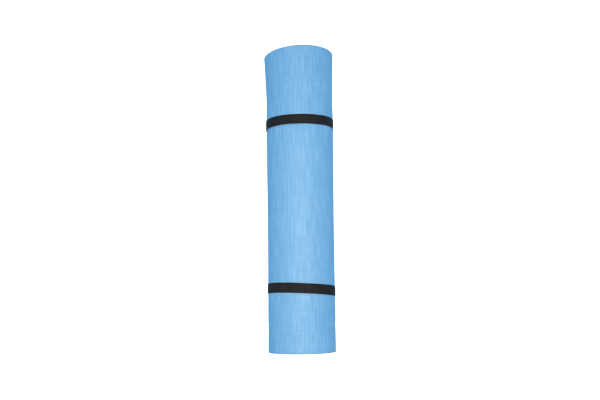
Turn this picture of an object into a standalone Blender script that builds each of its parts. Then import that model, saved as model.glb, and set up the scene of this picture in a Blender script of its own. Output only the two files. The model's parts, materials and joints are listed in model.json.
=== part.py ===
"""A closed-cell foam sleeping pad, rolled up and held shut by two flat elastic bands.

The pad is one sheet of foam wound into a spiral, standing on one end. Its free edge is at the back.
Each band is one strip of elastic bent round the roll, with its ends overlapped and sewn down by
two zigzag rows of thread. Metres, +Z up. The roll stands on Z = 0, centred on the Z axis.
"""
import math

import bmesh
import bpy
from mathutils import Vector
from mathutils.geometry import convex_hull_2d

# The foam sheet, as it lies flat, and how tightly it is rolled.
SHEET_LENGTH = 1.800
SHEET_WIDTH = 0.600
SHEET_THICKNESS = 0.007
WRAP_GAP = 0.0005
CORE_RADIUS = 0.012
FREE_EDGE_ANGLE = math.radians(90.0)
STEPS_PER_TURN = 48

# The elastic bands. A lean is the rise of a band per metre towards +X and towards +Y.
BAND_WIDTH = 0.0192
BAND_THICKNESS = 0.001
OVERLAP_STEPS = 3
TOUCHING_GAP = 0.0003
BANDS = {
    "upper": {"height": 0.4530, "lean": (0.010, 0.013), "join_angle": math.radians(48.0)},
    "lower": {"height": 0.1207, "lean": (-0.046, -0.048), "join_angle": math.radians(132.0)},
}

# The zigzag rows of thread that close each overlap.
THREAD_RADIUS = 0.0003
ZIGZAG_POINTS = 15
ZIGZAG_HALF_WIDTH = 0.0012
ZIGZAG_MARGIN = 0.0015

WRAP_PITCH = SHEET_THICKNESS + WRAP_GAP


def clear_scene():
    for old in list(bpy.data.objects):
        bpy.data.objects.remove(old, do_unlink=True)


def material(name, colour, roughness):
    made = bpy.data.materials.new(name)
    made.use_nodes = True
    shader = made.node_tree.nodes["Principled BSDF"]
    shader.inputs["Base Color"].default_value = (*colour, 1.0)
    shader.inputs["Roughness"].default_value = roughness
    shader.inputs["Metallic"].default_value = 0.0
    return made


def polar(radius, angle):
    return Vector((radius * math.cos(angle), radius * math.sin(angle)))


def wound_angle():
    """The angle through which the whole sheet is wound, from the length of its middle line."""
    first = CORE_RADIUS + SHEET_THICKNESS / 2
    last = math.sqrt(first**2 + WRAP_PITCH * SHEET_LENGTH / math.pi)
    return (last - first) * 2 * math.pi / WRAP_PITCH


def wrap_stations():
    """Pairs of points across the sheet's thickness, from the core out to the free edge."""
    total = wound_angle()
    steps = math.ceil(total / (2 * math.pi) * STEPS_PER_TURN)
    stations = []
    for step in range(steps, -1, -1):
        back = min(step * 2 * math.pi / STEPS_PER_TURN, total)
        inner = CORE_RADIUS + WRAP_PITCH * (total - back) / (2 * math.pi)
        angle = FREE_EDGE_ANGLE - back
        stations.append((polar(inner, angle), polar(inner + SHEET_THICKNESS, angle)))
    return stations


def stretched_outline(stations):
    """The convex line that a tight band follows round the roll, counter-clockwise."""
    exposed = [outer for _, outer in stations[-STEPS_PER_TURN - 1:]]
    return [exposed[index] for index in sorted(convex_hull_2d(exposed))]


def mitre(outline, index):
    """The outward direction at one corner of a closed outline, long enough to keep an offset even."""
    here = outline[index]
    before = (here - outline[index - 1]).normalized()
    after = (outline[(index + 1) % len(outline)] - here).normalized()
    middle = (before + after).normalized()
    outward = Vector((middle.y, -middle.x))
    return outward / outward.dot(Vector((after.y, -after.x)))


def band_stations(outline, join_angle):
    """Once round the roll and past the start, where the strip climbs over its own first end."""
    count = len(outline)
    ahead = [(math.atan2(p.y, p.x) - join_angle) % (2 * math.pi) for p in outline]
    start = ahead.index(min(ahead))
    stations = []
    for step in range(count + OVERLAP_STEPS + 1):
        index = (start + step) % count
        lift = TOUCHING_GAP
        if step >= count:
            lift += BAND_THICKNESS + TOUCHING_GAP
        outward = mitre(outline, index)
        here = outline[index]
        stations.append((here + outward * lift, here + outward * (lift + BAND_THICKNESS)))
    return stations


def leaning(point, height, lean):
    return Vector((point.x, point.y, height + lean[0] * point.x + lean[1] * point.y))


def strip_solid(name, stations, low, high, look, lean=(0.0, 0.0)):
    """One closed strip: the stations' thickness, from low to high along Z."""
    mesh = bmesh.new()
    rings = []
    for inner, outer in stations:
        corners = (
            leaning(inner, low, lean), leaning(outer, low, lean),
            leaning(outer, high, lean), leaning(inner, high, lean),
        )
        rings.append([mesh.verts.new(corner) for corner in corners])
    for here, following in zip(rings, rings[1:]):
        for side in range(4):
            other = (side + 1) % 4
            mesh.faces.new((here[side], following[side], following[other], here[other]))
    mesh.faces.new(rings[0])
    mesh.faces.new(list(reversed(rings[-1])))
    bmesh.ops.recalc_face_normals(mesh, faces=mesh.faces)
    data = bpy.data.meshes.new(name)
    mesh.to_mesh(data)
    mesh.free()
    data.shade_smooth()
    data.set_sharp_from_angle(angle=math.radians(40.0))
    data.materials.append(look)
    made = bpy.data.objects.new(name, data)
    bpy.context.collection.objects.link(made)
    return made


def thread_row(name, near, far, lean, look):
    """A zigzag of thread lying on the band, across its width, between two of its outer corners."""
    along = (far - near).normalized()
    outward = Vector((along.y, -along.x))
    middle = (near + far) / 2 + outward * (TOUCHING_GAP + THREAD_RADIUS)
    reach = BAND_WIDTH / 2 - ZIGZAG_MARGIN
    data = bpy.data.curves.new(name, "CURVE")
    data.dimensions = "3D"
    data.bevel_depth = THREAD_RADIUS
    data.bevel_resolution = 1
    data.use_fill_caps = True
    spline = data.splines.new("POLY")
    spline.points.add(ZIGZAG_POINTS - 1)
    for index, point in enumerate(spline.points):
        side = ZIGZAG_HALF_WIDTH if index % 2 else -ZIGZAG_HALF_WIDTH
        height = reach * (2 * index / (ZIGZAG_POINTS - 1) - 1)
        point.co = (*leaning(middle + along * side, height, lean), 1.0)
    data.materials.append(look)
    made = bpy.data.objects.new(name, data)
    bpy.context.collection.objects.link(made)
    return made


def box_centre(objects):
    """The middle of the pieces' common box, in X and Y."""
    bpy.context.view_layer.update()
    graph = bpy.context.evaluated_depsgraph_get()
    points = []
    for item in objects:
        solid = item.evaluated_get(graph)
        points += [solid.matrix_world @ corner.co for corner in solid.to_mesh().vertices]
        solid.to_mesh_clear()
    low = [min(point[axis] for point in points) for axis in range(2)]
    high = [max(point[axis] for point in points) for axis in range(2)]
    return [(low[axis] + high[axis]) / 2 for axis in range(2)]


def make_pad():
    clear_scene()
    foam = material("blue_foam", (0.25, 0.52, 0.84), 0.85)
    elastic = material("black_elastic", (0.02, 0.02, 0.025), 0.8)
    thread = material("black_thread", (0.03, 0.03, 0.03), 0.6)

    # The roll's own axis. The free edge and the sewn overlaps put it a little off the box's centre.
    axis = bpy.data.objects.new("roll_axis", None)
    bpy.context.collection.objects.link(axis)

    wraps = wrap_stations()
    pieces = [strip_solid("foam_mat", wraps, 0.0, SHEET_WIDTH, foam)]
    pieces[0].parent = axis

    outline = stretched_outline(wraps)
    for side, place in BANDS.items():
        stations = band_stations(outline, place["join_angle"])
        half = BAND_WIDTH / 2
        band = strip_solid(f"{side}_elastic_band", stations, -half, half, elastic, place["lean"])
        band.parent = axis
        band.location = (0.0, 0.0, place["height"])
        pieces.append(band)
        overlap = [outer for _, outer in stations[-OVERLAP_STEPS - 1:]]
        rows = {"right": overlap[:2], "left": overlap[-2:]}
        for row, (near, far) in rows.items():
            sewn = thread_row(f"{side}_band_thread_{row}", near, far, place["lean"], thread)
            sewn.parent = band
            pieces.append(sewn)

    centre = box_centre(pieces)
    axis.location = (-centre[0], -centre[1], 0.0)


make_pad()
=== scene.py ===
"""The looks of the rolled foam sleeping pad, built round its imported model.

The foam is one closed mesh: a flat sheet with a pressed grid, wound into a spiral. Each elastic
band is one ribbed strip bent round the roll, with its ends overlapped and sewn. Metres, +Z up.
"""

import json
import math

import bpy
import numpy as np
from mathutils import Matrix, Vector
from mathutils.geometry import convex_hull_2d


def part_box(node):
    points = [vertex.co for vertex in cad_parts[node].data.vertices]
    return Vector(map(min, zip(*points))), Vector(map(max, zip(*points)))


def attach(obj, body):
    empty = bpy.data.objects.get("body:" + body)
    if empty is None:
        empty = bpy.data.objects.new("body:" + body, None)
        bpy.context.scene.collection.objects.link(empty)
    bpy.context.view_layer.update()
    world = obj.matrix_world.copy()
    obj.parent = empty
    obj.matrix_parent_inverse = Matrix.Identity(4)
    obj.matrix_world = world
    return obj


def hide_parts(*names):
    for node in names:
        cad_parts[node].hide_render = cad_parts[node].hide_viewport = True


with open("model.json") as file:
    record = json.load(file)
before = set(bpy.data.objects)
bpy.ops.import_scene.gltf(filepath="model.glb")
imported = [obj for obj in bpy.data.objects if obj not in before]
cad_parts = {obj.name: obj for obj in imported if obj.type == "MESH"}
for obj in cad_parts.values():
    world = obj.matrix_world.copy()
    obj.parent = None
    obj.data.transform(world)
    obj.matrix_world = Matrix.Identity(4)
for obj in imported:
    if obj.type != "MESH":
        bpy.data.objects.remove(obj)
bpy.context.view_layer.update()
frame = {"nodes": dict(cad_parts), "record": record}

MM = 0.001
TURN = 2 * math.pi

# The camera, at the height of a low tripod in front of the roll.
CAMERA_DISTANCE = 1.479
CAMERA_SIDE = -1.2 * MM
CAMERA_HEIGHT = 0.1074
CAMERA_TILT = math.radians(7.46)
CAMERA_ROLL = math.radians(-0.643)
CAMERA_LENS = 44.35

# The foam sheet as it is cut, and the spiral that it is wound into.
SHEET_LENGTH = 1.8
SHEET_THICKNESS = 7 * MM
WRAP_PITCH = 7.5 * MM
CORE_RADIUS = 12 * MM
FREE_EDGE_ANGLE = math.radians(90)
SHEET_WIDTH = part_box("foam_mat")[1].z

# The pressed grid: its pitch, where the mesh has its lines within one pitch, and the grooves there.
GRID_PITCH = 5 * MM
ALONG_STEPS = (0.0, 0.2, 0.5, 0.8)
ALONG_DEPTHS = (1.0, 0.22, 0.0, 0.22)
UP_STEPS = (0.0, 0.3, 0.7)
UP_DEPTHS = (1.0, 0.0, 0.0)
ALONG_GROOVE = 0.26 * MM
UP_GROOVE = 0.20 * MM
CROSSING_GROOVE = ALONG_GROOVE * 1.1

# The cut edges, rounded by the knife, and a painted shade that darkens and greys the skin along them.
EDGE_ROUNDING = 0.9 * MM
ROUNDING_ANGLES = (0, 30, 60, 90)
CUT_FACE_STEPS = (0.3, 0.5, 0.7)
CUT_ROUGHNESS = 0.06 * MM
CUT_ROUGHNESS_SEED = 5
# How far the painted shade along the cut edges reaches onto the skin.
RIM_SHADE_REACH = 2.2 * MM

# Mesh columns: fine over the outer turn and a margin beyond it, coarse where foam covers foam.
COVERED_STEP = math.radians(6)
FINE_MARGIN = 10 * MM

# How far the roll's outer turn lies from the plain spiral: slimmer at the foot, wider at the head
# and spread at the top rim, more on the left. The turns inside follow it less and less.
FOOT_CHANGE = -0.75 * MM
HEAD_CHANGE = 0.40 * MM
CHANGE_FROM, CHANGE_TO = 0.23, 0.40
FLARE_FROM = 0.500
FLARE_POWER = 1.25
FLARE_MEAN = 3.3 * MM
FLARE_LEFTWARD = 1.4 * MM

# The outer turn's slow waves, its narrow waist under each band and its swell beside the band. They
# fade out over the turns that it covers.
SKIN_WOBBLE = 0.06 * MM
WAIST_DEPTH = 0.15 * MM
BULGE_HEIGHTS = {"upper": 0.6 * MM, "lower": 0.15 * MM}
BULGE_RISE = 3.5 * MM
BULGE_REACH = 20 * MM
FADE_TURNS = 1.2

# The top rim's rise for each metre towards +X and towards -Y, its drop at both sides, and how
# unevenly the covered turns stand in it.
TOP_TILT = 0.054
TOP_NOD = 0.014
TOP_DROOP = 2.2 * MM
TURN_UNEVENNESS = 1.0 * MM

# The elastic bands: the strip's section, its overlap, and its knitted stitches.
BAND_WIDTH = 19.2 * MM
BAND_THICKNESS = 0.7 * MM
BAND_CLEARANCE = 0.06 * MM
BAND_STEP = 1.2 * MM
BAND_RIBS = 14
RIB_HEIGHT = 0.10 * MM
RIB_SAMPLES = 4
BAND_EDGE_ROUNDING = 0.25 * MM
OVERLAP = 26 * MM
ROW_FROM_END = 4.4 * MM
RAMP = 8 * MM
END_SOFTNESS = 0.25 * MM
END_PINCH = 0.55
KNIT_RIB = 1.35 * MM
KNIT_STITCH = 1.6 * MM

# The sewing thread: two plies, in a zigzag that dips into the elastic at each turn.
THREAD_RADIUS = 0.28 * MM
ZIGZAG_LEGS = 14
ZIGZAG_HALF_WIDTH = 1.2 * MM
ZIGZAG_MARGIN = 1.5 * MM
ZIGZAG_STAND = 0.15 * MM
ZIGZAG_DIP = 0.45 * MM
PLY_TWIST = 0.55
PLY_DEPTH = 0.16


# ---------------------------------------------------------------- the spiral

# The radius of the sheet's middle line at its two ends, the angle wound between them, and the
# radius of the inner face where the outer turn begins.
FIRST_RADIUS = CORE_RADIUS + SHEET_THICKNESS / 2
LAST_RADIUS = math.sqrt(FIRST_RADIUS**2 + WRAP_PITCH * SHEET_LENGTH / math.pi)
WOUND = (LAST_RADIUS - FIRST_RADIUS) * TURN / WRAP_PITCH
OUTER_TURN_RADIUS = CORE_RADIUS + WRAP_PITCH * (WOUND / TURN - 1)


def smooth_step(value):
    value = np.clip(value, 0, 1)
    return value * value * (3 - 2 * value)


def wound_to(along):
    """The angle wound from the sheet's inner end to a distance along its middle line."""
    return (np.sqrt(FIRST_RADIUS**2 + WRAP_PITCH * along / math.pi) - FIRST_RADIUS) * TURN / WRAP_PITCH


def along_at(wound):
    """The distance along the sheet's middle line at an angle wound from its inner end."""
    return FIRST_RADIUS * wound + WRAP_PITCH * wound**2 / (2 * TURN)


def spiral_point(wound, outward):
    """Points of the spiral about the roll's own axis, outward from the sheet's inner face."""
    radius = CORE_RADIUS + WRAP_PITCH * wound / TURN + outward
    angle = FREE_EDGE_ANGLE - WOUND + wound
    return np.stack([radius * np.cos(angle), radius * np.sin(angle)], axis=-1)


# The outer turn's outer face, seen from above about the roll's own axis, and where that axis is.
OUTLINE = spiral_point(np.linspace(WOUND - TURN, WOUND, 361), SHEET_THICKNESS)
AXIS = np.array(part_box("foam_mat")[0].xy) - OUTLINE.min(axis=0)


def band_plane(node):
    """A band's height on the roll's axis and its lean towards +X and +Y, from its CAD solid."""
    points = np.array([corner.co for corner in frame["nodes"][node].data.vertices], float)
    terms = np.column_stack([np.ones(len(points)), points[:, :2] - AXIS])
    return np.linalg.lstsq(terms, points[:, 2], rcond=None)[0]


def loose_shape(height, angle):
    """How much wider than its CAD solid the roll is: slimmer at the foot, spread at the top rim."""
    climb = smooth_step((height - CHANGE_FROM) / (CHANGE_TO - CHANGE_FROM))
    spread = np.clip((height - FLARE_FROM) / (SHEET_WIDTH - FLARE_FROM), 0, None) ** FLARE_POWER
    flare = FLARE_MEAN - FLARE_LEFTWARD * np.cos(angle)
    return FOOT_CHANGE + (HEAD_CHANGE - FOOT_CHANGE) * climb + flare * spread


def rim_rise(flat):
    """How much higher than its CAD solid the top rim is: tilted, and drooping at both sides."""
    return TOP_TILT * flat[:, 0] - TOP_NOD * flat[:, 1] - TOP_DROOP * (flat[:, 0] / LAST_RADIUS) ** 2


BAND_PLANES = {side: band_plane(f"{side}_elastic_band") for side in ("upper", "lower")}


# ---------------------------------------------------------------- mesh helpers

def new_object(name, points, faces, materials):
    data = bpy.data.meshes.new(name)
    data.from_pydata([tuple(point) for point in points], [], faces)
    data.validate()
    for look in materials:
        data.materials.append(look)
    data.shade_smooth()
    made = bpy.data.objects.new(name, data)
    bpy.context.scene.collection.objects.link(made)
    return made


def set_attribute(data, name, values):
    layer = data.attributes.new(name, "FLOAT", "POINT")
    layer.data.foreach_set("value", np.asarray(values, np.float32))


def set_uv(data, name, coordinates):
    """A UV map in metres, from one pair of coordinates for each vertex."""
    corners = np.empty(len(data.loops), np.int32)
    data.loops.foreach_get("vertex_index", corners)
    layer = data.uv_layers.new(name=name)
    layer.data.foreach_set("uv", np.asarray(coordinates, np.float32)[corners].ravel())


# ---------------------------------------------------------------- the foam sheet

def rim_profile():
    """Steps across a cut edge: the share of the thickness, and how far the edge stands out there."""
    turns = np.radians(ROUNDING_ANGLES)
    across = EDGE_ROUNDING * (1 - np.cos(turns)) / SHEET_THICKNESS
    out = EDGE_ROUNDING * np.sin(turns)
    middle = np.array(CUT_FACE_STEPS)
    shares = np.concatenate([across, middle, 1 - across[::-1]])
    outs = np.concatenate([out, np.full(len(middle), EDGE_ROUNDING), out[::-1]])
    return shares, outs


def grid_lines(length, steps, depths, low, high):
    """Mesh lines along one direction of the pressed grid, with the groove at each."""
    count = int(length / GRID_PITCH) + 2
    lines = [(-1 + cell + step) * GRID_PITCH for cell in range(count) for step in steps]
    grooves = [depth for _ in range(count) for depth in depths]
    spare = 0.5 * MM
    kept = [(line, groove) for line, groove in zip(lines, grooves) if low + spare < line < high - spare]
    places = [low] + [line for line, _ in kept] + [high]
    return np.array(places), np.array([0.0] + [groove for _, groove in kept] + [0.0])


def sheet_columns():
    """Distances along the sheet, its grooves there, and which columns have every row."""
    turn_start = along_at(WOUND - TURN) - FINE_MARGIN
    fine, grooves = grid_lines(
        SHEET_LENGTH, ALONG_STEPS, ALONG_DEPTHS, EDGE_ROUNDING, SHEET_LENGTH - turn_start
    )
    fine, grooves = SHEET_LENGTH - fine[::-1], grooves[::-1]
    covered = along_at(np.arange(COVERED_STEP, wound_to(turn_start) - COVERED_STEP / 2, COVERED_STEP))
    covered = np.concatenate([[EDGE_ROUNDING], covered])
    places = np.concatenate([covered, fine])
    depths = np.concatenate([np.zeros(len(covered)), grooves])
    return places, depths, len(covered)


def coarse_rows(count):
    """The few rows that covered foam has: close together near the ends, far apart between."""
    near, stride, margin = [0, 2, 5, 10, 18], 30, 20
    between = list(range(stride, count - margin, stride))
    return sorted(set(near + between + [count - 1 - row for row in near]))


def stitch(faces, first, second):
    """Faces between two columns of (row, vertex). One column's rows may be a subset of the other's."""
    flipped = len(second) < len(first)
    few, many = (second, first) if flipped else (first, second)
    at = 0
    for (_, low), (row, high) in zip(few, few[1:]):
        side = [many[at][1]]
        while many[at][0] < row:
            at += 1
            side.append(many[at][1])
        face = [low] + side + [high]
        face = [corner for place, corner in enumerate(face) if corner != face[place - 1]]
        if len(face) > 2:
            faces.append(face[::-1] if flipped else face)


def make_foam(skin, cut):
    """The whole sheet as one closed mesh. A vertex is at a column, a row and a step.

    Steps go through the thickness, from the inner face to the outer one. The column or row before
    the first, or after the last, stands for a cut edge, and meets the faces at its outermost steps.
    """
    shares, outs = rim_profile()
    last = len(shares) - 1
    columns, column_grooves, fine_from = sheet_columns()
    rows, row_grooves = grid_lines(
        SHEET_WIDTH, UP_STEPS, UP_DEPTHS, EDGE_ROUNDING, SHEET_WIDTH - EDGE_ROUNDING
    )
    columns_end, rows_end = len(columns), len(rows)
    every_row, few_rows = list(range(rows_end)), coarse_rows(rows_end)
    numbers, keys = {}, []

    def corner(column, row, step):
        if step in (0, last):
            column = min(max(column, 0), columns_end - 1)
            row = min(max(row, 0), rows_end - 1)
        key = (column, row, step)
        if key not in numbers:
            numbers[key] = len(keys)
            keys.append(key)
        return numbers[key]

    def face_column(column, step):
        """The outer face is fine over the last turn, the inner face only beside the free edge."""
        fine = column >= (fine_from if step else columns_end - 2)
        return [(row, corner(column, row, step)) for row in (every_row if fine else few_rows)]

    faces = []
    for column in range(columns_end - 1):
        stitch(faces, face_column(column + 1, last), face_column(column, last))
        stitch(faces, face_column(column, 0), face_column(column + 1, 0))
    skin_faces = len(faces)

    steps = range(last + 1)
    for column in range(columns_end - 1):
        for row, order in ((rows_end, 1), (-1, -1)):
            pair = [[(step, corner(place, row, step)) for step in steps] for place in (column, column + 1)]
            stitch(faces, *pair[::order])
    for column, order, rows_there in ((columns_end, 1, every_row), (-1, -1, few_rows)):
        for step in range(last):
            pair = [[(row, corner(column, row, place)) for row in rows_there] for place in (step, step + 1)]
            stitch(faces, *pair[::order])
    for column, side in ((columns_end, 1), (-1, -1)):
        for row, up in ((rows_end, 1), (-1, -1)):
            inside_row = rows_end - 1 if up > 0 else 0
            inside_column = columns_end - 1 if side > 0 else 0
            pair = [
                [(step, corner(inside_column, row, step)) for step in steps],
                [(step, corner(column, inside_row, step)) for step in steps],
            ]
            stitch(faces, *pair[:: side * up])

    keys = np.array(keys)
    column, row, step = keys.T
    inside_column, inside_row = np.clip(column, 0, columns_end - 1), np.clip(row, 0, rows_end - 1)
    along = columns[inside_column] + outs[step] * (np.sign(column - inside_column))
    height = rows[inside_row] + outs[step] * (np.sign(row - inside_row))
    on_skin = (step == last) & (column >= fine_from)
    groove = np.where(
        on_skin, ALONG_GROOVE * column_grooves[inside_column] + UP_GROOVE * row_grooves[inside_row], 0.0
    )
    groove = np.minimum(groove, CROSSING_GROOVE)
    rough = np.random.default_rng(CUT_ROUGHNESS_SEED).normal(0, CUT_ROUGHNESS, len(keys))
    on_cut = (step > 1) & (step < last - 1)
    height = height + np.where(on_cut & (row != inside_row) & (height > SHEET_WIDTH / 2), rough, 0)
    along = along + np.where(on_cut & (column != inside_column), rough, 0)

    points = rolled_sheet(along, height, shares[step] * SHEET_THICKNESS, -groove)
    foam = new_object("rolled_foam_mat", points, faces, [skin, cut])
    cut_index = np.zeros(len(faces), np.int32)
    cut_index[skin_faces:] = 1
    foam.data.polygons.foreach_set("material_index", cut_index)
    set_attribute(foam.data, "groove", groove / ALONG_GROOVE)
    # Painted shade: a mask, strongest at the cut edges, that darkens and greys the skin there.
    to_cut = np.minimum(np.minimum(height, SHEET_WIDTH - height), SHEET_LENGTH - along)
    set_attribute(foam.data, "edge_weight", np.exp(-((to_cut / RIM_SHADE_REACH) ** 2)))
    set_uv(foam.data, "sheet", np.column_stack([along, height + shares[step] * SHEET_THICKNESS]))
    return foam


def rolled_sheet(along, height, outward, relief):
    """Places in the roll for points of the flat sheet, with the foam's own unevenness added.

    relief is how far a point stands out of the smooth face, and is negative in a groove.
    """
    wound = wound_to(np.clip(along, 0, None))
    angle = FREE_EDGE_ANGLE - WOUND + wound
    turns_in = (WOUND - wound) / TURN
    covered = np.exp(-np.clip(turns_in - 1, 0, None) / FADE_TURNS)
    radius = CORE_RADIUS + WRAP_PITCH * wound / TURN

    wobble = np.sin(1.7 * angle + 9 * height + 0.6) * np.sin(23 * height + 2.1 * angle + 1.9)
    out = covered * SKIN_WOBBLE * (wobble - 1)
    base = spiral_point(wound, SHEET_THICKNESS)
    for side, (level, lean_x, lean_y) in BAND_PLANES.items():
        beyond = np.abs(height - (level + lean_x * base[:, 0] + lean_y * base[:, 1])) - BAND_WIDTH / 2
        free = smooth_step(beyond / BULGE_RISE)
        bulge = free * np.exp(-((np.clip(beyond, 0, None) / BULGE_REACH) ** 2))
        out = out + covered * (BULGE_HEIGHTS[side] * bulge - WAIST_DEPTH * (1 - free))
    out = out + np.minimum(radius / OUTER_TURN_RADIUS, 1.0) ** 2 * loose_shape(height, angle)

    flat = spiral_point(wound, outward + relief + out)
    uneven = 0.5 * np.sin(2.3 * wound + 0.4) + 0.35 * np.sin(0.61 * wound + 2.0) - 0.9
    rise = rim_rise(flat) + (1 - covered) * uneven * TURN_UNEVENNESS
    return np.column_stack([flat + AXIS, height * (1 + rise / SHEET_WIDTH)])


# ---------------------------------------------------------------- the elastic bands

class Band:
    """One strip of elastic: its line round the roll, and where points of the strip lie on it."""

    def __init__(self, side):
        self.side = side
        self.level, self.lean_x, self.lean_y = BAND_PLANES[side]
        first_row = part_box(f"{side}_band_thread_right")
        middle = (np.array(first_row[0].xy) + np.array(first_row[1].xy)) / 2 - AXIS
        self.lay_line(math.atan2(middle[1], middle[0]))

    def lay_line(self, first_row_angle):
        """The taut line round the roll, from the strip's covered end to its sewn outer end."""
        hull = OUTLINE[sorted(convex_hull_2d([Vector(point) for point in OUTLINE]))]
        closed = np.vstack([hull, hull[:1]])
        lengths = np.concatenate([[0], np.cumsum(np.linalg.norm(np.diff(closed, axis=0), axis=1))])
        count = int(lengths[-1] / BAND_STEP)
        even = np.linspace(0, lengths[-1], count, endpoint=False)
        line = np.column_stack([np.interp(even, lengths, closed[:, axis]) for axis in range(2)])
        line = (np.roll(line, 1, axis=0) + line + np.roll(line, -1, axis=0)) / 3
        step = lengths[-1] / count
        angles = np.arctan2(line[:, 1], line[:, 0])
        nearest = int(np.argmin(np.abs((angles - first_row_angle + math.pi) % TURN - math.pi)))
        start = nearest - round(ROW_FROM_END / step)
        beyond = round(OVERLAP / step)
        order = (start + np.arange(count + beyond + 1)) % count
        forward = np.roll(line, -2, axis=0) - np.roll(line, 2, axis=0)
        forward = forward / np.linalg.norm(forward, axis=1)[:, None]
        outward = np.column_stack([forward[:, 1], -forward[:, 0]])
        self.line, self.outward = line[order], outward[order]
        self.places = np.arange(len(order)) * step
        self.around = count * step
        climb = smooth_step((self.places - self.around + RAMP) / RAMP)
        self.lift = self.snug_fit() + climb * (BAND_THICKNESS + RIB_HEIGHT + BAND_CLEARANCE)

    def snug_fit(self):
        """How far out of the CAD line the strip lies, to just clear the roll all along its travel."""
        joint = next(j for j in frame["record"]["behaviour"]["joints"] if j["child"] == f"{self.side}_band")
        flat = self.line @ np.array([self.lean_x, self.lean_y]) + self.level
        angle = np.arctan2(self.line[:, 1], self.line[:, 0])
        travel = np.linspace(*joint["range_m"], 40)[:, None]
        stretch = 1 + rim_rise(self.line) / SHEET_WIDTH
        edges = [(flat + travel + side * BAND_WIDTH / 2) / stretch for side in (-1, 1)]
        return BAND_CLEARANCE + np.max([loose_shape(edge, angle).max(axis=0) for edge in edges], axis=0)

    def place(self, along, across, up):
        """Row-frame points, from along the strip, across its width and up from its inner face."""
        line = np.column_stack([np.interp(along, self.places, self.line[:, axis]) for axis in range(2)])
        out = np.column_stack([np.interp(along, self.places, self.outward[:, axis]) for axis in range(2)])
        flat = line + out * (np.interp(along, self.places, self.lift) + up)[:, None]
        height = self.level + flat @ np.array([self.lean_x, self.lean_y]) + across
        return np.column_stack([flat + AXIS, height])


def band_section():
    """The strip's section, once round: across its width, and up from its inner face."""
    round_turns = np.radians([0, 45, 90])
    reach = BAND_WIDTH / 2 - BAND_EDGE_ROUNDING
    ribs = np.linspace(-reach, reach, BAND_RIBS * RIB_SAMPLES + 1)
    phase = (ribs + reach) / (2 * reach) * BAND_RIBS * math.pi
    top = BAND_THICKNESS + RIB_HEIGHT * np.abs(np.sin(phase)) - RIB_HEIGHT / 2
    side_out = reach + BAND_EDGE_ROUNDING * np.cos(round_turns)
    side_up = BAND_EDGE_ROUNDING * (1 - np.sin(round_turns))
    bottom = np.linspace(reach, -reach, 9)[1:-1]
    across = np.concatenate([ribs, side_out, side_out[::-1], bottom, -side_out, -side_out[::-1]])
    lower = side_up[::-1]
    upper = BAND_THICKNESS - RIB_HEIGHT / 2 - side_up
    ups = np.concatenate([top, upper[::-1], lower[::-1], np.zeros(len(bottom)), lower, upper])
    return across, ups


def make_band(band, look):
    """The strip's section carried along its line. It wanders a little across, and thins at its ends."""
    across, ups = band_section()
    ring = len(across)
    end = band.places[-1]
    stations = np.concatenate([[0.0, END_SOFTNESS], band.places[1:-1], [end - END_SOFTNESS, end]])
    edge_weight = np.ones(len(stations))
    edge_weight[[0, -1]] = END_PINCH
    along = np.repeat(stations, ring)
    across_all = np.tile(across, len(stations))
    middle = BAND_THICKNESS / 2
    ups_all = middle + (np.tile(ups, len(stations)) - middle) * np.repeat(edge_weight, ring)
    drift = 0.12 * MM * np.sin(along * 61 + 1.0) + 0.08 * MM * np.sin(along * 143 + 0.3)
    points = band.place(along, across_all + drift, ups_all)
    faces = []
    for station in range(len(stations) - 1):
        for place in range(ring):
            following = (place + 1) % ring
            low, high = station * ring, (station + 1) * ring
            faces.append((low + place, high + place, high + following, low + following))
    faces.append(list(range(ring)))
    faces.append([(len(stations) - 1) * ring + place for place in reversed(range(ring))])
    made = new_object(f"{band.side}_woven_elastic_band", points, faces, [look])
    set_uv(made.data, "strip", np.column_stack([along, across_all]))
    return made


def zigzag(band, centre):
    """The thread's route over the overlap: along, across and up, dipping in at each turn."""
    reach = BAND_WIDTH / 2 - ZIGZAG_MARGIN
    steps = 8
    count = ZIGZAG_LEGS * steps + 1
    share = np.arange(count) / (count - 1)
    leg = share * ZIGZAG_LEGS
    swing = np.abs((leg % 2) - 1) * 2 - 1
    bite = np.abs((leg % 1) - 0.5) * 2
    along = centre + ZIGZAG_HALF_WIDTH * swing
    across = reach * (2 * share - 1)
    up = BAND_THICKNESS + RIB_HEIGHT / 2 + ZIGZAG_STAND - ZIGZAG_DIP * bite**4
    return band.place(along, across, up)


def make_thread(band, row, centre, look):
    """A two-ply tube along the zigzag."""
    path = zigzag(band, centre)
    sides = 10
    forward = np.gradient(path, axis=0)
    forward /= np.linalg.norm(forward, axis=1)[:, None]
    outward = np.append(band.place(np.array([centre]), np.zeros(1), np.ones(1) * MM)[0, :2] - AXIS, 0.0)
    across = np.cross(forward, outward / np.linalg.norm(outward))
    across /= np.linalg.norm(across, axis=1)[:, None]
    up = np.cross(across, forward)
    turned = np.arange(sides) * TURN / sides
    twist = np.arange(len(path)) * PLY_TWIST
    ply = 1 + PLY_DEPTH * np.cos(2 * (turned[None, :] - twist[:, None]))
    radius = THREAD_RADIUS * ply
    rings = (
        path[:, None, :]
        + across[:, None, :] * (radius * np.cos(turned))[:, :, None]
        + up[:, None, :] * (radius * np.sin(turned))[:, :, None]
    )
    points = rings.reshape(-1, 3)
    faces = []
    for place in range(len(path) - 1):
        for side in range(sides):
            following = (side + 1) % sides
            low, high = place * sides, (place + 1) * sides
            faces.append((low + side, low + following, high + following, high + side))
    faces.append(list(reversed(range(sides))))
    faces.append([(len(path) - 1) * sides + side for side in range(sides)])
    return new_object(f"{band.side}_band_zigzag_{row}", points, faces, [look])


# ---------------------------------------------------------------- materials

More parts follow.
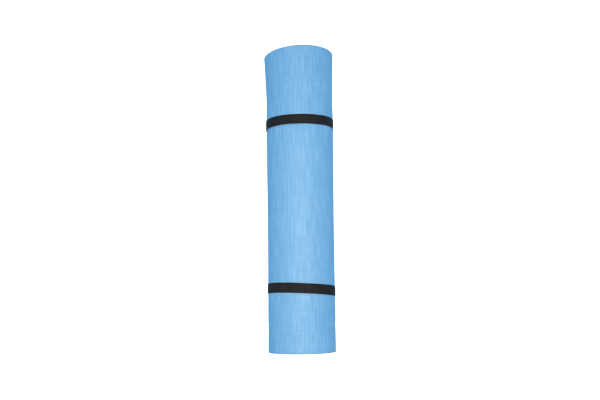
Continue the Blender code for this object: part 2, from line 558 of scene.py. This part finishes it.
class Look:
    """A Principled material and short ways to add nodes to it."""

    def __init__(self, name, roughness, specular):
        self.material = bpy.data.materials.new(name)
        self.material.use_nodes = True
        self.tree = self.material.node_tree
        self.shader = self.tree.nodes["Principled BSDF"]
        self.shader.inputs["Roughness"].default_value = roughness
        self.shader.inputs["Specular IOR Level"].default_value = specular

    def node(self, kind, **settings):
        made = self.tree.nodes.new(kind)
        for name, value in settings.items():
            setattr(made, name, value)
        return made

    def link(self, output, target):
        self.tree.links.new(output, target)

    def noise(self, scale, detail=2.0):
        place = self.node("ShaderNodeTexCoord")
        made = self.node("ShaderNodeTexNoise")
        made.inputs["Scale"].default_value = scale
        made.inputs["Detail"].default_value = detail
        self.link(place.outputs["Object"], made.inputs["Vector"])
        return made.outputs["Fac"]

    def strip_noise(self, uv_map, along, across):
        """Noise drawn out along one direction of a UV map in metres."""
        place = self.node("ShaderNodeUVMap", uv_map=uv_map)
        stretch = self.node("ShaderNodeMapping")
        stretch.inputs["Scale"].default_value = (along, across, 1.0)
        made = self.node("ShaderNodeTexNoise")
        made.inputs["Scale"].default_value = 1.0
        self.link(place.outputs["UV"], stretch.inputs["Vector"])
        self.link(stretch.outputs["Vector"], made.inputs["Vector"])
        return made.outputs["Fac"]

    def cells(self, scale):
        place = self.node("ShaderNodeTexCoord")
        made = self.node("ShaderNodeTexVoronoi")
        made.inputs["Scale"].default_value = scale
        self.link(place.outputs["Object"], made.inputs["Vector"])
        return made.outputs["Distance"]

    def between(self, value, low, high, first=0.0, second=1.0):
        """value taken from the range low..high to first..second."""
        made = self.node("ShaderNodeMapRange")
        for name, number in (("From Min", low), ("From Max", high), ("To Min", first), ("To Max", second)):
            made.inputs[name].default_value = number
        self.link(value, made.inputs["Value"])
        return made.outputs["Result"]

    def mix(self, factor, first, second):
        made = self.node("ShaderNodeMix", data_type="RGBA")
        self.link(factor, made.inputs["Factor"])
        for name, colour in (("A", first), ("B", second)):
            socket = next(s for s in made.inputs if s.name == name and s.type == "RGBA")
            if isinstance(colour, tuple):
                socket.default_value = (*colour, 1.0)
            else:
                self.link(colour, socket)
        return next(s for s in made.outputs if s.type == "RGBA")

    def attribute(self, name):
        return self.node("ShaderNodeAttribute", attribute_name=name).outputs["Fac"]

    def bump(self, height, strength, distance, under=None):
        made = self.node("ShaderNodeBump")
        made.inputs["Strength"].default_value = strength
        made.inputs["Distance"].default_value = distance
        self.link(height, made.inputs["Height"])
        if under is not None:
            self.link(under, made.inputs["Normal"])
        return made.outputs["Normal"]

    def math(self, operation, first, second):
        made = self.node("ShaderNodeMath", operation=operation)
        for socket, value in zip(made.inputs, (first, second)):
            if isinstance(value, float):
                socket.default_value = value
            else:
                self.link(value, socket)
        return made.outputs["Value"]

    def finish(self, colour, normal, roughness=None):
        self.link(colour, self.shader.inputs["Base Color"])
        self.link(normal, self.shader.inputs["Normal"])
        if roughness is not None:
            self.link(roughness, self.shader.inputs["Roughness"])
        return self.material


def foam_skin():
    """Blue foam with paler patches, clouds and specks and darker upright streaks. Painted shade darkens the
    grooves, and a painted shade darkens and greys the skin along the cut edges. Its cells make a fine bump."""
    look = Look("foam_skin", roughness=0.5, specular=0.4)
    patches = look.between(look.noise(16, 3), 0.35, 0.65)
    colour = look.mix(patches, (0.158, 0.408, 0.715), (0.174, 0.432, 0.750))
    cloudy = look.between(look.noise(150, 3), 0.3, 0.7)
    colour = look.mix(look.math("MULTIPLY", cloudy, 0.5), colour, (0.198, 0.460, 0.775))
    specks = look.between(look.noise(700, 2), 0.3, 0.75)
    colour = look.mix(look.math("MULTIPLY", specks, 0.35), colour, (0.213, 0.470, 0.785))
    streaks = look.between(look.strip_noise("sheet", 320, 22), 0.36, 0.64)
    colour = look.mix(look.math("MULTIPLY", streaks, 0.85), colour, (0.118, 0.345, 0.630))
    # Painted shade: the grooves are darkened, unevenly along their length.
    uneven = look.between(look.noise(70, 3), 0.3, 0.7, 0.35, 1.0)
    groove_shade = look.math("MULTIPLY", look.attribute("groove"), uneven)
    colour = look.mix(look.math("MULTIPLY", groove_shade, 0.75), colour, (0.090, 0.295, 0.575))
    # Painted shade along the cut edges: the skin there is darker and greyer.
    colour = look.mix(look.math("MULTIPLY", look.attribute("edge_weight"), 0.9), colour, (0.110, 0.250, 0.400))
    fine = look.bump(look.cells(1500), 0.35, 0.12 * MM)
    normal = look.bump(look.noise(420, 3), 0.3, 0.15 * MM, fine)
    roughness = look.between(look.noise(260, 2), 0.3, 0.7, 0.50, 0.64)
    return look.finish(colour, normal, roughness)


def foam_cut():
    """Sliced foam: open cells, so it is rougher and paler in patches."""
    look = Look("foam_cut_edge", roughness=0.85, specular=0.25)
    pores = look.between(look.cells(1100), 0.1, 0.7)
    colour = look.mix(pores, (0.115, 0.290, 0.480), (0.190, 0.410, 0.640))
    patches = look.between(look.noise(45, 3), 0.35, 0.7)
    colour = look.mix(look.math("MULTIPLY", patches, 0.35), colour, (0.230, 0.400, 0.560))
    coarse = look.bump(look.noise(300, 3), 0.35, 0.3 * MM)
    normal = look.bump(look.cells(1100), 0.8, 0.3 * MM, coarse)
    roughness = look.between(look.noise(200, 2), 0.3, 0.7, 0.78, 0.92)
    return look.finish(colour, normal, roughness)


def woven_elastic():
    """Rubber cords under a knitted polyester cover: stitches that alternate from rib to rib."""
    look = Look("woven_elastic", roughness=0.75, specular=0.16)
    place = look.node("ShaderNodeUVMap", uv_map="strip").outputs["UV"]
    split = look.node("ShaderNodeSeparateXYZ")
    look.link(place, split.inputs["Vector"])
    along, across = split.outputs["X"], split.outputs["Y"]
    rib = look.math("FLOOR", look.math("MULTIPLY", across, 1 / KNIT_RIB), 0.0)
    shift = look.math("MULTIPLY", rib, math.pi)
    phase = look.math("ADD", look.math("MULTIPLY", along, TURN / KNIT_STITCH), shift)
    stitches = look.between(look.math("SINE", phase, 0.0), -1.0, 1.0)
    fuzz = look.between(look.noise(1800, 3), 0.25, 0.75)
    yarn = look.math("ADD", look.math("MULTIPLY", stitches, 0.75), look.math("MULTIPLY", fuzz, 0.25))
    colour = look.mix(yarn, (0.003, 0.003, 0.004), (0.015, 0.013, 0.016))
    worn = look.between(look.noise(60, 3), 0.45, 0.8)
    colour = look.mix(look.math("MULTIPLY", worn, 0.4), colour, (0.022, 0.019, 0.020))
    normal = look.bump(yarn, 0.6, 0.12 * MM)
    roughness = look.between(fuzz, 0.0, 1.0, 0.62, 0.8)
    return look.finish(colour, normal, roughness)


def sewing_thread():
    """Black polyester thread, a little shinier than the elastic, with fibres along it."""
    look = Look("sewing_thread", roughness=0.5, specular=0.5)
    fibres = look.between(look.noise(2600, 2), 0.3, 0.7)
    colour = look.mix(fibres, (0.016, 0.016, 0.017), (0.034, 0.033, 0.034))
    normal = look.bump(fibres, 0.4, 0.05 * MM)
    return look.finish(colour, normal, look.between(fibres, 0.0, 1.0, 0.42, 0.58))


def studio_white(name, glow):
    look = Look(name, roughness=0.9, specular=0.1)
    look.shader.inputs["Emission Color"].default_value = (1.0, 1.0, 1.0, 1.0)
    look.shader.inputs["Emission Strength"].default_value = glow
    grain = look.between(look.noise(40, 2), 0.3, 0.7)
    colour = look.mix(grain, (0.90, 0.90, 0.90), (0.92, 0.92, 0.92))
    return look.finish(colour, look.bump(grain, 0.05, 0.2 * MM))


# ---------------------------------------------------------------- stage, light and camera

def make_studio():
    """A white floor and a round white wall. They are seen, but only the lights light the roll."""
    radius, height, sides = 9.0, 12.0, 64
    turns = [TURN * place / sides for place in range(sides)]
    ring = [(radius * math.cos(turn), radius * math.sin(turn)) for turn in turns]
    floor_points = [(x, y, 0.0) for x, y in ring]
    floor = new_object("studio_floor", floor_points, [range(sides)], [studio_white("floor", 0.8)])
    wall_points = [(x, y, level) for level in (-0.1, height) for x, y in ring]
    wall_faces = [(k, (k + 1) % sides, (k + 1) % sides + sides, k + sides) for k in range(sides)]
    wall_faces.append(range(sides, 2 * sides))
    wall = new_object("studio_wall", wall_points, wall_faces, [studio_white("wall", 1.2)])
    for stage in (floor, wall):
        stage.visible_diffuse = stage.visible_glossy = stage.visible_shadow = False


def area_light(name, place, target, size, watts, colour, reach="both"):
    """A softbox. Its reach is "spread" for diffuse light only, and "shine" for glossy light only."""
    data = bpy.data.lights.new(name, "AREA")
    data.shape = "RECTANGLE"
    data.size, data.size_y = size
    data.energy = watts
    data.color = colour
    made = bpy.data.objects.new(name, data)
    made.location = place
    made.rotation_euler = (Vector(target) - Vector(place)).to_track_quat("-Z", "Y").to_euler()
    made.visible_camera = False
    made.visible_diffuse, made.visible_glossy = reach != "shine", reach != "spread"
    bpy.context.scene.collection.objects.link(made)


def make_light():
    """Cool light from all round, and softboxes.

    At the front a warm one makes the foam's colour and a paler one makes its shine, so that the
    shine stays pale when the roll is seen from behind.
    """
    world = bpy.data.worlds.new("studio_air")
    world.use_nodes = True
    air = world.node_tree.nodes["Background"]
    air.inputs["Color"].default_value = (0.50, 0.825, 1.0, 1.0)
    air.inputs["Strength"].default_value = 0.83
    bpy.context.scene.world = world
    warm, pale, soft = (1.0, 0.58, 0.35), (1.0, 0.90, 0.70), (1.0, 0.9, 0.85)
    area_light("front_softbox", (0.10, -1.1, 0.20), (0.0, 0.0, 0.20), (0.6, 0.4), 12.2, warm, "spread")
    area_light("front_shine", (0.04, -1.1, 0.24), (0.0, 0.0, 0.24), (1.1, 0.4), 10.0, pale, "shine")
    area_light("left_softbox", (-1.0, -0.45, 0.05), (0.0, 0.0, 0.12), (0.4, 0.3), 1.6, warm, "spread")
    area_light("back_softbox", (0.0, 1.6, 0.5), (0.0, 0.0, 0.3), (0.8, 0.8), 9, soft)
    area_light("overhead_softbox", (0.0, 0.0, 2.6), (0.0, 0.0, 0.0), (1.2, 1.2), 12, soft)


def make_camera():
    data = bpy.data.cameras.new("camera")
    data.lens = CAMERA_LENS
    made = bpy.data.objects.new("camera", data)
    turned = Matrix.Rotation(math.pi / 2 + CAMERA_TILT, 4, "X") @ Matrix.Rotation(CAMERA_ROLL, 4, "Z")
    place = Matrix.Translation((CAMERA_SIDE, -CAMERA_DISTANCE, CAMERA_HEIGHT))
    made.matrix_world = place @ turned
    bpy.context.scene.collection.objects.link(made)
    bpy.context.scene.camera = made
    bpy.context.scene.view_settings.view_transform = "Standard"


# ---------------------------------------------------------------- the whole picture

make_camera()
make_light()
make_studio()

foam = make_foam(foam_skin(), foam_cut())
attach(foam, "mat")
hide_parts("foam_mat")

elastic, thread = woven_elastic(), sewing_thread()
for side in ("upper", "lower"):
    band = Band(side)
    strip = make_band(band, elastic)
    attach(strip, f"{side}_band")
    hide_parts(f"{side}_elastic_band")
    centres = {"right": band.around + ROW_FROM_END, "left": band.around + OVERLAP - ROW_FROM_END}
    for row, centre in centres.items():
        sewn = make_thread(band, row, centre, thread)
        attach(sewn, f"{side}_band")
        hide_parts(f"{side}_band_thread_{row}")
